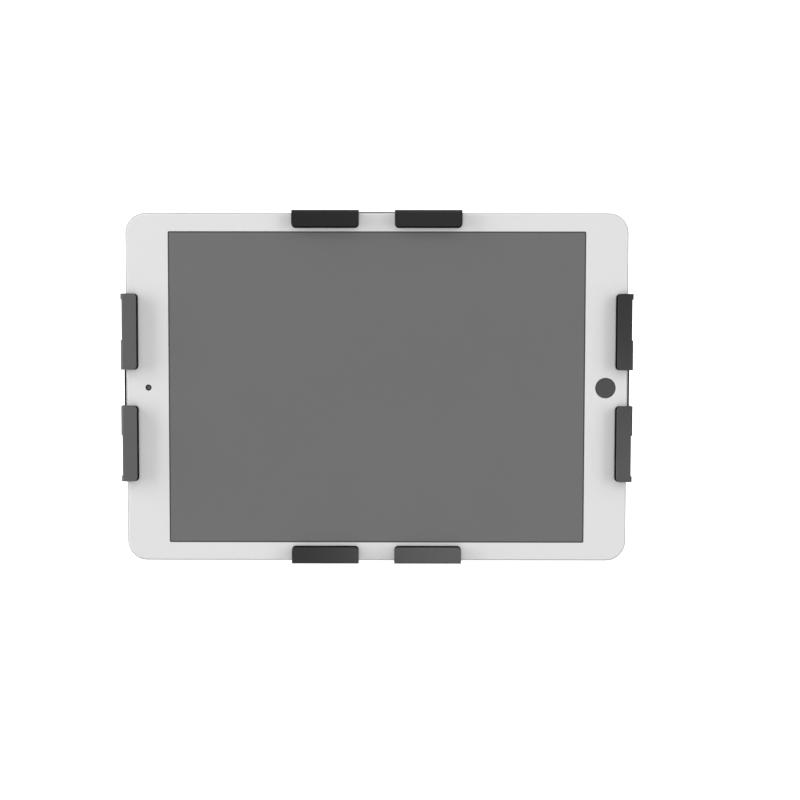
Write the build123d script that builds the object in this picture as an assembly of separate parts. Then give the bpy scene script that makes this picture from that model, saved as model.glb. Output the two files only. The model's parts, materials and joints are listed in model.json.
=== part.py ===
from build123d import *
from math import acos, cos, hypot, pi, radians, sin, tan
import os

os.makedirs("parts", exist_ok=True)

# A tablet held by eight sheet-steel claws on a counter stand. Millimetres, +Z up, the
# user stands towards -Y. The origin is the middle of the underside of the base.

# Tablet
tablet_long = 250.6
tablet_short = 174.1
tablet_thick = 7.5
tablet_corner = 10.0
side_bezel = 21.15
end_bezel = 9.15
glass_thick = 1.0
glass_proud = 0.2
rim = 0.5
shell_wall = 2.0
shell_floor = 1.2
shell_edge = 3.4
home_radius = 5.0
home_inset = 10.9
camera_radius = 1.5
camera_inset = 11.1
button_fit = 0.15
key_long = 9.0
key_high = 2.2
key_proud = 0.4
key_deep = 1.9
key_level = 4.8

# Claws and arms
sheet = 1.2
bend_inside = 0.6
claw_gap = 17.9
side_claw = 37.95
end_claw = 33.45
side_overlap = 6.2
end_overlap = 7.6
side_liner = 1.0
tablet_gap = 0.2
end_gap = 0.1
lip_pad = 1.6
pad_border = 0.6
lip_corner = 2.0
window_long = 20.5
window_tab = 2.8
window_slant = 0.4
window_notch = 0.8
window_from = 1.5
side_bar_top = 1.0
end_bar_top = 0.5
stem_wide = 44.0
stem_hole = 7.0
arm_travel = 31.4
rack_lead = 8.6
finger_clear = 2.0
side_bar_deep = 15.3
side_flare = 18.0
end_bar_deep = 11.05
end_flare = 11.0

# Centring gears
gear_module = 1.0
gear_teeth = 20
pressure_angle = 20.0
gear_backlash = 0.2
gear_root_share = 1.25
post_radius = 3.0
running_fit = 0.05

# Head housing
plate_pattern = 100.0
plate_margin = 12.0
housing_corner = 14.0
housing_wall = 3.0
front_plate = 2.0
rest_pad = 2.0
divider = 0.8
slide_gap = 0.1
channel_side_gap = 0.2
guide_fit = 0.3
rear_floor = 4.4
rotor_pattern = 75.0
plate_screw_radius = 2.0
seat_fit = 0.05
screw_fit = 0.1

# Tilt and rotation joint
recline = 45.0
pivot_y = -88.0
pivot_z = 138.0
rotor_side = 90.0
rotor_corner = 10.0
rotor_thick = 3.0
hub_radius = 14.0
hub_long = 15.0
hub_clear = 1.0
cup_floor = 3.0
ear_clear = 1.0
bush_wall = 2.0
flange_thick = 1.3
cup_wall = 7.0
barrel_radius = 12.0
barrel_half = 12.0
tilt_washer = 1.0
tilt_bolt_radius = 4.0
tilt_bush_wall = 1.5
ear_thick = 5.0

# Neck and base
neck_wide = 36.0
neck_deep = 24.0
neck_wall = 2.5
neck_corner = 4.0
web_clear = 4.0
web_thick = 5.0
base_wide = 180.0
base_deep = 200.0
base_corner = 20.0
base_thick = 8.0
base_pad = 1.5
turntable_radius = 52.0
turntable_thick = 5.0
foot_wide = 84.0
foot_deep = 70.0
foot_thick = 4.0
foot_corner = 12.0
swivel_radius = 5.0
swivel_flange = 1.5
counter_x = 140.0
counter_y = 160.0
counter_radius = 3.25
cable_radius = 8.0
cable_y = 76.0

# One overrun for every cut that has to break through
over = 1.0

# The screen and housing, the levels along the head's own normal from the back of the tablet
# at zero, and the gears
screen_long = tablet_long - 2 * side_bezel
screen_short = tablet_short - 2 * end_bezel
housing_side = plate_pattern + 2 * plate_margin
front_face = -rest_pad
lid_under = front_face - front_plate
channel = sheet + 2 * slide_gap
side_level = lid_under - slide_gap - sheet
divider_top = lid_under - channel
divider_under = divider_top - divider
end_level = divider_under - slide_gap - sheet
floor_top = divider_under - channel
rear_face = floor_top - rear_floor
rotor_face = rear_face - rotor_thick
pivot_depth = barrel_radius + cup_floor + hub_long - rotor_face
gear_pitch = gear_module * gear_teeth / 2
gear_root = gear_root_share * gear_module
tooth_pitch = pi * gear_module
tooth_thick = (tooth_pitch - gear_backlash) / 2
lip_under = tablet_thick + tablet_gap + lip_pad
lip_top = lip_under + sheet

# Directions of the head and of the neck
turn = radians(recline)
head_normal = Vector(0, -cos(turn), sin(turn))
pivot = Vector(0, pivot_y, pivot_z)
HEAD = Plane(origin=pivot + head_normal * pivot_depth, x_dir=(1, 0, 0), z_dir=head_normal)
turntable_under = base_pad + base_thick + swivel_flange + slide_gap
foot_under = turntable_under + turntable_thick
foot_top = foot_under + foot_thick
neck_long = hypot(pivot_y, pivot_z - foot_under)
neck_up = Vector(0, pivot_y, pivot_z - foot_under) / neck_long
NECK = Plane(origin=pivot, x_dir=(1, 0, 0), z_dir=neck_up)

parts = {}


def keep(name, *solids, frame=None):
    """Place the solids of one piece, given in its own frame, and file them under a name."""
    place = frame.location if frame else Location()
    loose = [solid for shape in solids for solid in shape.solids()]
    parts[name] = Compound(children=[place * solid for solid in loose])


def slab(long, wide, low, high, corner=0):
    """A flat plate with round corners between two levels."""
    outline = RectangleRounded(long, wide, corner) if corner else Rectangle(long, wide)
    return Pos(0, 0, low) * extrude(outline, high - low)


def block(x_from, x_to, y_from, y_to, low, high):
    """A box between six planes."""
    return Pos(x_from, y_from, low) * Box(
        x_to - x_from, y_to - y_from, high - low, align=(Align.MIN, Align.MIN, Align.MIN)
    )


def rod(radius, low, high, x=0, y=0):
    """A round bar standing on its end."""
    return Pos(x, y, low) * Cylinder(radius, high - low, align=(Align.CENTER, Align.CENTER, Align.MIN))


def ring(inner, outer, low, high, x=0, y=0):
    """A washer or sleeve."""
    return rod(outer, low, high, x, y) - rod(inner, low - over, high + over, x, y)


def corners(x_pitch, y_pitch):
    """The four places of a rectangular pattern."""
    return [(i * x_pitch / 2, j * y_pitch / 2) for i in (-1, 1) for j in (-1, 1)]


def hexagon(flats, low, high, socket=0):
    """A nut, with its thread as a plain hole."""
    nut = Pos(0, 0, low) * extrude(RegularPolygon(flats / 2, 6, major_radius=False), high - low)
    return nut - rod(socket, low - over, high + over) if socket else nut


def hex_socket(radius, low, deep, x=0, y=0):
    """The six-sided recess in a screw's head."""
    return Pos(x, y, low) * extrude(RegularPolygon(radius, 6), deep)


def crosswise(shape):
    """Turn a piece made along Z so that it lies along X."""
    return Rot(0, 90, 0) * shape


def outline_face(points):
    return make_face(Polyline(*points, close=True))


def build_base():
    """Steel base plate on a glued rubber sheet, with its cable grommet and lock insert."""
    top = base_pad + base_thick
    grommet_wall = 2.0
    grommet_flange = 5.0
    grommet_lift = 2.0
    nut_room = 12.0
    nut_room_deep = 5.5
    countersink = 6.0
    lock_wide = 14.0
    lock_high = 6.0
    lock_deep = 9.0
    slot_wide = 7.0
    slot_high = 3.0
    slot_deep = 6.0
    edge = 1.2

    plate = slab(base_wide, base_deep, base_pad, top, base_corner)
    plate = chamfer(plate.edges().group_by(Axis.Z)[-1], edge)
    pad = slab(base_wide - 2 * edge, base_deep - 2 * edge, 0, base_pad, base_corner - edge)
    for x, y in corners(counter_x, counter_y):
        plate -= rod(counter_radius, -over, top + over, x, y)
        sink = Cone(counter_radius, countersink, countersink - counter_radius,
                    align=(Align.CENTER, Align.CENTER, Align.MAX))
        plate -= Pos(x, y, top) * sink
        pad -= rod(counter_radius, -over, top, x, y)
    sleeve = cable_radius + grommet_wall
    plate -= rod(sleeve, -over, top + over, 0, cable_y)
    pad -= rod(sleeve, -over, top, 0, cable_y)
    plate -= rod(nut_room, base_pad - over, base_pad + nut_room_deep)
    plate -= rod(swivel_radius + bush_wall, base_pad, top + over)

    grommet = rod(sleeve, seat_fit, top + grommet_lift, 0, cable_y)
    grommet += rod(cable_radius + grommet_flange, top, top + grommet_lift, 0, cable_y)
    grommet = fillet(grommet.edges().group_by(Axis.Z)[-1], grommet_lift / 2)
    grommet -= rod(cable_radius, -over, top + grommet_lift + over, 0, cable_y)

    rear = base_deep / 2
    middle = base_pad + base_thick / 2
    pocket = block(-lock_wide / 2, lock_wide / 2, rear - lock_deep, rear + over,
                   middle - lock_high / 2, middle + lock_high / 2)
    insert = pocket & block(-lock_wide, lock_wide, 0, rear, 0, top)
    insert -= block(-slot_wide / 2, slot_wide / 2, rear - slot_deep, rear + over,
                    middle - slot_high / 2, middle + slot_high / 2)
    plate -= pocket

    bush = rod(swivel_radius + bush_wall, base_pad + nut_room_deep, top + swivel_flange)
    bush += rod(turntable_radius / 2, top, top + swivel_flange)
    bush -= rod(swivel_radius + running_fit, base_pad, top + swivel_flange + over)

    keep("base_plate", plate)
    keep("base_rubber_sheet", pad)
    keep("cable_grommet", grommet)
    keep("lock_insert", insert)
    keep("swivel_bush", bush)
    return base_pad + nut_room_deep


def build_turntable(recess_top):
    """Turntable disc, its centre bolt with washer and nut, and the neck's foot screws."""
    head_radius = 11.0
    head_thick = 2.6
    washer_thick = 1.0
    washer_radius = 10.0
    nut_flats = 17.0
    nut_thick = 4.0
    screw_radius = 2.5
    screw_head = 5.0
    screw_sink = 2.5
    screw_x = 64.0
    screw_y = 50.0
    edge = 1.0

    disc = rod(turntable_radius, turntable_under, foot_under)
    disc = chamfer(disc.edges().group_by(Axis.Z)[-1], edge)
    disc -= rod(swivel_radius + seat_fit, turntable_under - over, foot_under + over)
    disc -= rod(head_radius + seat_fit, foot_under - head_thick - seat_fit, foot_under + over)
    washer_top = recess_top - slide_gap
    nut_top = washer_top - washer_thick
    bolt = rod(head_radius, foot_under - head_thick - seat_fit, foot_under - seat_fit)
    bolt += rod(swivel_radius, nut_top - nut_thick, foot_under - head_thick)
    washer = ring(swivel_radius + seat_fit, washer_radius, nut_top, washer_top)
    nut = hexagon(nut_flats, nut_top - nut_thick, nut_top, swivel_radius + seat_fit)

    foot = slab(foot_wide, foot_deep, foot_under, foot_top, foot_corner)
    foot = fillet(foot.edges().group_by(Axis.Z)[-1], edge)
    screws = []
    for x, y in corners(screw_x, screw_y):
        sink = Cone(screw_radius, screw_head, screw_sink, align=(Align.CENTER, Align.CENTER, Align.MAX))
        foot -= Pos(x, y, foot_top) * sink
        foot -= rod(screw_radius + screw_fit, foot_under - over, foot_top, x, y)
        disc -= rod(screw_radius + screw_fit, turntable_under + edge, foot_under + over, x, y)
        screw = Pos(x, y, foot_top) * sink
        screw += rod(screw_radius, turntable_under + 2 * edge, foot_top - screw_sink, x, y)
        screws.append(screw - hex_socket(screw_radius / 2, foot_top - screw_sink / 2, screw_sink, x, y))
    keep("turntable", disc)
    keep("swivel_bolt", bolt)
    keep("swivel_washer", washer)
    keep("swivel_nut", nut)
    keep("neck_foot", foot)
    keep("foot_screws", *screws)


def build_neck():
    """Box tube welded between the foot and a forked yoke that carries the tilt bolt."""
    web_top = -barrel_radius - web_clear
    web_under = web_top - web_thick
    ear_from = barrel_half + tilt_washer + slide_gap
    ear_to = ear_from + ear_thick

    uncut = neck_long + neck_deep
    tube = Pos(0, 0, -uncut) * extrude(RectangleRounded(neck_wide, neck_deep, neck_corner),
                                       uncut + web_under)
    bore = extrude(RectangleRounded(neck_wide - 2 * neck_wall, neck_deep - 2 * neck_wall,
                                    neck_corner - neck_wall), uncut)
    tube -= Pos(0, 0, -uncut) * bore
    tube = NECK.location * tube
    tube -= block(-neck_wide, neck_wide, pivot_y, -pivot_y, -uncut, foot_top)
    keep("neck_tube", tube)

    yoke = block(-ear_to, ear_to, -neck_deep / 2, neck_deep / 2, web_under, web_top)
    for side in (-1, 1):
        ear = block(ear_from, ear_to, -barrel_radius, barrel_radius, web_under, 0)
        ear += crosswise(rod(barrel_radius, ear_from, ear_to))
        ear -= crosswise(rod(tilt_bolt_radius + seat_fit, 0, ear_to + over))
        yoke += ear if side > 0 else mirror(ear, Plane.YZ)
    keep("neck_yoke", yoke, frame=NECK)

    bolt_head = 7.0
    bolt_head_thick = 4.5
    socket_radius = 2.8
    nut_flats = 13.0
    nut_thick = 6.5
    bolt_end = 1.5
    bolt = rod(tilt_bolt_radius, -ear_to - nut_thick - bolt_end, ear_to)
    bolt += rod(bolt_head, ear_to, ear_to + bolt_head_thick)
    bolt = fillet(bolt.edges().group_by(Axis.Z)[-1], bolt_head_thick / 2)
    bolt -= hex_socket(socket_radius, ear_to + bolt_head_thick / 2, bolt_head_thick)
    nut = hexagon(nut_flats, -ear_to - nut_thick, -ear_to, tilt_bolt_radius + seat_fit)
    washer = ring(tilt_bolt_radius + seat_fit, barrel_radius, ear_from - tilt_washer, ear_from)
    washers = [washer, mirror(washer, Plane.XY)]
    keep("tilt_bolt", crosswise(bolt), frame=NECK)
    keep("tilt_nut", crosswise(nut), frame=NECK)
    keep("tilt_friction_washers", *[crosswise(washer) for washer in washers], frame=NECK)


def build_joint():
    """Tilt block with its bushes, and the rotor plate whose hub turns in the block."""
    flange_top = rotor_face - slide_gap
    cup_top = flange_top - flange_thick
    hub_end = rotor_face - hub_long
    cup_radius = hub_radius + bush_wall + cup_wall
    cup_under = -pivot_depth + barrel_radius + ear_clear
    groove_deep = 1.5
    groove_high = 2.6
    grub_radius, grub_level = 2.0, (rotor_face + hub_end) / 2
    grub_turns = (90, 210, 330)
    bush_end = hub_end - hub_clear
    edge = 1.0

    cup = rod(cup_radius, cup_under, cup_top)
    cup = chamfer(cup.edges().group_by(Axis.Z)[0], edge)
    body = cup + block(-barrel_half, barrel_half, -barrel_radius, barrel_radius, -pivot_depth, cup_under)
    body += Pos(0, 0, -pivot_depth) * crosswise(rod(barrel_radius, -barrel_half, barrel_half))
    body -= rod(hub_radius + bush_wall, bush_end, cup_top + over)
    body -= Pos(0, 0, -pivot_depth) * crosswise(
        rod(tilt_bolt_radius + running_fit + tilt_bush_wall, -neck_wide, neck_wide))

    bush = rod(hub_radius + bush_wall, bush_end, flange_top)
    bush += rod(cup_radius, cup_top, flange_top)
    bush -= rod(hub_radius + running_fit, bush_end - over, flange_top + over)
    hub = rod(hub_radius, hub_end, rotor_face)
    hub -= ring(hub_radius - groove_deep, hub_radius + over, grub_level - groove_high / 2,
                grub_level + groove_high / 2)
    grubs = []
    for angle in grub_turns:
        spot = Pos(0, 0, grub_level) * Rot(0, 0, angle) * Rot(0, 90, 0)
        thread = grub_radius + screw_fit
        body -= spot * rod(thread, hub_radius, cup_radius + over)
        bush -= spot * rod(thread, hub_radius - over, hub_radius + bush_wall + over)
        grub = rod(grub_radius, hub_radius + slide_gap, cup_radius - edge)
        grub += rod(grub_radius / 2, hub_radius - groove_deep + slide_gap, hub_radius + slide_gap)
        grub -= hex_socket(grub_radius / 2, cup_radius - 2 * edge, 2 * edge)
        grubs.append(spot * grub)

    plate = slab(rotor_side, rotor_side, rotor_face, rear_face, rotor_corner)
    plate = chamfer(plate.edges().group_by(Axis.Z)[0], edge)
    plate += hub
    screw_head = 3.8
    screw_head_thick = 2.2
    screws = []
    for x, y in corners(rotor_pattern, rotor_pattern):
        plate -= rod(plate_screw_radius + screw_fit, rotor_face - over, rear_face + over, x, y)
        screw = rod(plate_screw_radius, rotor_face, floor_top - edge, x, y)
        cap = rod(screw_head, rotor_face - screw_head_thick, rotor_face, x, y)
        cap = fillet(cap.edges().group_by(Axis.Z)[0], screw_head_thick / 2)
        cap -= hex_socket(plate_screw_radius / 2, rotor_face - screw_head_thick, screw_head_thick / 2, x, y)
        screws.append(screw + cap)
    tilt_bush = ring(tilt_bolt_radius + running_fit, tilt_bolt_radius + running_fit + tilt_bush_wall,
                     -barrel_half, barrel_half)
    keep("tilt_block", body, frame=HEAD)
    keep("tilt_bush", Pos(0, 0, -pivot_depth) * crosswise(tilt_bush), frame=HEAD)
    keep("rotor_bush", bush, frame=HEAD)
    keep("rotor_grub_screws", *grubs, frame=HEAD)
    keep("rotor_plate", plate, frame=HEAD)
    keep("rotor_screws", *screws, frame=HEAD)


def build_housing():
    """Cast rear housing, arm guide, front plate, gear post, screws and tablet rest pads."""
    cavity = housing_side - 2 * housing_wall
    cavity_corner = housing_corner - housing_wall
    guide_side = cavity - 2 * guide_fit
    reach = housing_side / 2 + over
    slot_half = stem_wide / 2 + channel_side_gap
    post_seat = 0.8
    lid_screw_inset = 10.0
    lid_screw_x = housing_side - 2 * lid_screw_inset
    lid_screw_y = stem_wide + 2 * lid_screw_inset
    lid_screw = 1.5
    lid_head = 3.0
    lid_sink = 1.5
    clamp_inset = 8.0
    clamp_radius = 2.0
    clamp_head = 4.0
    clamp_head_thick = 2.4
    clamp_far = housing_side / 2 - clamp_inset
    finger_mid = (gear_pitch + gear_root + stem_wide / 2) / 2
    edge = 2.0

    rear = slab(housing_side, housing_side, rear_face, lid_under, housing_corner)
    rear = fillet(rear.edges().group_by(Axis.Z)[0], edge)
    rear -= slab(cavity, cavity, floor_top, lid_under + over, cavity_corner)
    rear -= block(-reach, reach, -slot_half, slot_half, divider_top, lid_under + over)
    rear -= block(-slot_half, slot_half, -reach, reach, floor_top, divider_under)

    guide = slab(guide_side, guide_side, floor_top, lid_under, cavity_corner - guide_fit)
    guide -= block(-reach, reach, -slot_half, slot_half, divider_top, lid_under + over)
    guide -= block(-slot_half, slot_half, -reach, reach, floor_top - over, divider_under)

    lid = slab(housing_side, housing_side, lid_under, front_face, housing_corner)
    lid = chamfer(lid.edges().group_by(Axis.Z)[-1], edge / 4)

    post_low, post_high = floor_top - edge, lid_under + post_seat
    post = rod(post_radius, post_low, post_high)
    socket = rod(post_radius + seat_fit, post_low, post_high)
    rear, guide, lid = rear - socket, guide - socket, lid - socket

    screws = []
    for x, y in corners(lid_screw_x, lid_screw_y):
        sink = Pos(x, y, front_face) * Cone(lid_screw, lid_head, lid_sink,
                                            align=(Align.CENTER, Align.CENTER, Align.MAX))
        screw = sink + rod(lid_screw, floor_top - edge, front_face - lid_sink, x, y)
        screws.append(screw - hex_socket(lid_screw / 2, front_face - lid_sink / 2, lid_sink, x, y))
        hole = rod(lid_screw + screw_fit, floor_top - edge, front_face + over, x, y)
        rear, guide, lid = rear - hole, guide - hole, lid - hole - sink
    for pattern in (rotor_pattern, plate_pattern):
        for x, y in corners(pattern, pattern):
            rear -= rod(plate_screw_radius + screw_fit, rear_face - over, floor_top, x, y)

    clamps = {}
    for name, x, y, tip in (
        ("side_clamp_screw", clamp_far, -finger_mid, side_level - slide_gap - seat_fit),
        ("upright_clamp_screw", finger_mid, clamp_far, end_level - slide_gap - seat_fit),
    ):
        hole = rod(clamp_radius + screw_fit, rear_face - over, tip + slide_gap + seat_fit, x, y)
        rear, guide = rear - hole, guide - hole
        cap = rod(clamp_head, rear_face - clamp_head_thick, rear_face, x, y)
        cap = fillet(cap.edges().group_by(Axis.Z)[0], clamp_head_thick / 3)
        pin = rod(clamp_radius / 4, rear_face - clamp_head_thick, rear_face, x, y)
        recess = hex_socket(clamp_radius * 2 / 3, rear_face - clamp_head_thick, clamp_head_thick / 2, x, y)
        clamps[name] = cap - (recess - pin) + rod(clamp_radius, rear_face, tip, x, y)

    pad_side = 26.0
    pad_pitch = 88.0
    pad_corner = 4.0
    pads = [Pos(x, y) * slab(pad_side, pad_side, front_face, 0, pad_corner)
            for x, y in corners(pad_pitch, pad_pitch)]

    keep("housing_rear", rear, frame=HEAD)
    keep("arm_guide", guide, frame=HEAD)
    keep("housing_front", lid, frame=HEAD)
    keep("gear_post", post, frame=HEAD)
    keep("housing_screws", *screws, frame=HEAD)
    keep("tablet_rest_pads", *pads, frame=HEAD)
    for name, clamp in clamps.items():
        keep(name, clamp, frame=HEAD)


def pinion(level):
    """Spur gear of involute teeth, one of them pointing straight along each axis."""
    flank_steps = 3
    alpha = radians(pressure_angle)
    base_circle = gear_pitch * cos(alpha)
    tip = gear_pitch + gear_module
    root = gear_pitch - gear_root

    def half_angle(radius):
        beta = acos(min(1, base_circle / radius))
        return tooth_thick / (2 * gear_pitch) + tan(alpha) - alpha - tan(beta) + beta

    radii = [base_circle + (tip - base_circle) * i / flank_steps for i in range(flank_steps + 1)]
    flank = [(root, half_angle(base_circle))] + [(radius, half_angle(radius)) for radius in radii]
    points = []
    for tooth in range(gear_teeth):
        centre = 2 * pi * tooth / gear_teeth
        for radius, half in flank:
            points.append((radius * cos(centre - half), radius * sin(centre - half)))
        for radius, half in reversed(flank):
            points.append((radius * cos(centre + half), radius * sin(centre + half)))
    wheel = Pos(0, 0, level) * extrude(outline_face(points), sheet)
    return wheel - rod(post_radius + running_fit, level - over, level + sheet + over)


def rack_teeth(level, first, last):
    """Rack teeth on the inner edge of a finger, with a space at the middle of the tablet."""
    alpha = radians(pressure_angle)
    root = -gear_pitch - gear_root
    tip = -gear_pitch + gear_module
    wide = tooth_thick / 2 + gear_root * tan(alpha)
    slim = tooth_thick / 2 - gear_module * tan(alpha)
    teeth = []
    for index in range(first, last):
        x = (index + 1 / 2) * tooth_pitch
        outline = [(x - wide, root - over), (x - wide, root), (x - slim, tip), (x + slim, tip),
                   (x + wide, root), (x + wide, root - over)]
        teeth.append(Pos(0, 0, level) * extrude(outline_face(outline), sheet))
    return teeth


def claw_profile(level, wall, lip_end, bar_in, top):
    """Section through bar, wall and lip; without a lip end it stops at the given top."""
    inner = wall - sheet
    outer_bend = bend_inside + sheet
    if lip_end is None:
        line = [(bar_in, level), (wall, level), (wall, top), (inner, top), (inner, level + sheet),
                (bar_in, level + sheet)]
        bends = {(wall, level): outer_bend, (inner, level + sheet): bend_inside}
    else:
        line = [(bar_in, level), (wall, level), (wall, top), (lip_end, top), (lip_end, top - sheet),
                (inner, top - sheet), (inner, level + sheet), (bar_in, level + sheet)]
        bends = {(wall, level): outer_bend, (wall, top): outer_bend, (inner, top - sheet): bend_inside,
                 (inner, level + sheet): bend_inside}
    face = outline_face(line)
    for (x, y), radius in bends.items():
        corner = face.vertices().sort_by_distance((x, y))[0]
        face = fillet(corner, radius)
    return face


def along(face, y_from, y_to):
    """Stretch a section drawn as distance out and height along the edge of the tablet."""
    plane = Plane(origin=(0, y_to, 0), x_dir=(1, 0, 0), z_dir=(0, -1, 0))
    return extrude(plane.location * face, y_to - y_from)


def arm(level, tablet_half, wall, overlap, claw_long, bar_deep, bar_top, flare, windows):
    """One sheet-steel arm: rack finger, stem, crossbar and two claws, pointing along +X."""
    half_gap = claw_gap / 2
    half_span = half_gap + claw_long
    half_stem = stem_wide / 2
    finger_end = arm_travel + rack_lead
    stem_from = finger_end + finger_clear
    root = gear_pitch + gear_root
    bar_in = tablet_half - bar_deep
    flare_from = bar_in - flare
    lip_end = tablet_half - overlap + pad_border
    join = wall - sheet - bend_inside
    corner = 3.0

    plan = [(-finger_end, -root), (-finger_end, -half_stem), (flare_from, -half_stem),
            (bar_in, -half_span), (join, -half_span), (join, half_span), (bar_in, half_span),
            (flare_from, half_stem), (stem_from, half_stem), (stem_from, -root)]
    flat = Pos(0, 0, level) * extrude(outline_face(plan), sheet)
    round_off = flat.edges().filter_by(Axis.Z).filter_by_position(Axis.X, flare_from - over, bar_in + over)
    flat = fillet(round_off, corner)
    teeth_before = 3
    teeth_after = int(finger_end / tooth_pitch)
    for tooth in rack_teeth(level, -teeth_before, teeth_after):
        flat += tooth
    holes = int((flare_from - stem_from) / (3 * stem_hole))
    for index in range(holes):
        x = stem_from + (index + 1 / 2) * (flare_from - stem_from) / holes
        flat -= rod(stem_hole, level - over, level + sheet + over, x, 0)

    bar_edge = claw_profile(level, wall, None, bar_in, bar_top)
    body = flat + along(bar_edge, -half_gap, half_gap)
    for side in (-1, 1):
        claw = along(claw_profile(level, wall, lip_end, bar_in, lip_top), half_gap, half_span)
        free = claw.edges().filter_by(Axis.Z).filter_by_position(Axis.Z, lip_under, lip_top)
        claw = fillet(free, lip_corner)
        if windows:
            far = half_span - window_tab
            near = far - window_long
            for depth, top in ((sheet, lip_under), (window_notch, lip_top + over)):
                slant = window_slant * depth / sheet
                outline = [(wall - depth, near + slant), (wall, near), (wall + over, near),
                           (wall + over, far), (wall, far), (wall - depth, far - slant)]
                claw -= Pos(0, 0, window_from) * extrude(outline_face(outline), top - window_from)
        body += claw if side > 0 else mirror(claw, Plane.XZ)
    return body


def side_liners():
    """Moulded rubber channels that line the inside of the side claws."""
    half = claw_gap / 2
    wall = tablet_long / 2 + tablet_gap + side_liner
    low = side_level + sheet
    lip_end = tablet_long / 2 - side_overlap
    bar_in = tablet_long / 2 - side_bar_deep
    inner = wall - side_liner
    line = [(bar_in, low), (wall, low), (wall, lip_under), (lip_end, lip_under),
            (lip_end, lip_under - lip_pad), (inner, lip_under - lip_pad), (inner, -tablet_gap),
            (bar_in, -tablet_gap)]
    face = outline_face(line)
    for x, y in ((wall, low), (wall, lip_under)):
        face = fillet(face.vertices().sort_by_distance((x, y))[0], bend_inside)
    liner = along(face, half, half + side_claw)
    free = liner.edges().filter_by(Axis.Z).filter_by_position(Axis.Z, lip_under - lip_pad, lip_under)
    liner = fillet([edge for edge in free if edge.center().X < lip_end + pad_border], lip_corner)
    return [liner, mirror(liner, Plane.XZ)]


def end_pads():
    """Rubber lip pads and back blocks glued inside the top and bottom claws."""
    half = claw_gap / 2
    inner = tablet_short / 2 + end_gap
    lip_end = tablet_short / 2 - end_overlap
    back_to = inner - 2 * bend_inside
    lips, backs = [], []
    lip = block(lip_end, inner - bend_inside, half, half + end_claw, lip_under - lip_pad, lip_under)
    free = lip.edges().filter_by(Axis.Z).sort_by(Axis.X)[:2]
    lip = fillet(free, lip_corner)
    back = block(tablet_short / 2 - end_bar_deep, back_to, half, half + end_claw, end_level + sheet, -tablet_gap)
    back = fillet(back.edges().filter_by(Axis.Z), lip_corner)
    for piece, group in ((lip, lips), (back, backs)):
        group += [piece, mirror(piece, Plane.XZ)]
    return lips, backs


def build_arms():
    """Two arm pairs: the side arms run above the divider, the top and bottom arms under it."""
    side_wall = tablet_long / 2 + tablet_gap + side_liner + sheet
    end_wall = tablet_short / 2 + end_gap + sheet
    side = arm(side_level, tablet_long / 2, side_wall, side_overlap, side_claw,
               side_bar_deep, side_bar_top, side_flare, True)
    end = arm(end_level, tablet_short / 2, end_wall, end_overlap, end_claw,
              end_bar_deep, end_bar_top, end_flare, False)
    liners = side_liners()
    lips, backs = end_pads()
    for name, angle in (("right", 0), ("left", 180)):
        around = Rot(0, 0, angle)
        keep("arm_" + name, around * side, frame=HEAD)
        keep("arm_" + name + "_liners", *[around * liner for liner in liners], frame=HEAD)
    for name, angle in (("top", 90), ("bottom", -90)):
        around = Rot(0, 0, angle)
        keep("arm_" + name, around * end, frame=HEAD)
        keep("arm_" + name + "_lip_pads", *[around * lip for lip in lips], frame=HEAD)
        keep("arm_" + name + "_back_pads", *[around * back for back in backs], frame=HEAD)
    keep("pinion_side", pinion(side_level), frame=HEAD)
    keep("pinion_upright", pinion(end_level), frame=HEAD)


def key(long, high, deep):
    """A side key with round ends, its face at zero and its body along -X."""
    face = Plane.YZ.location * SlotOverall(long, high)
    return extrude(face, -deep)


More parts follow.
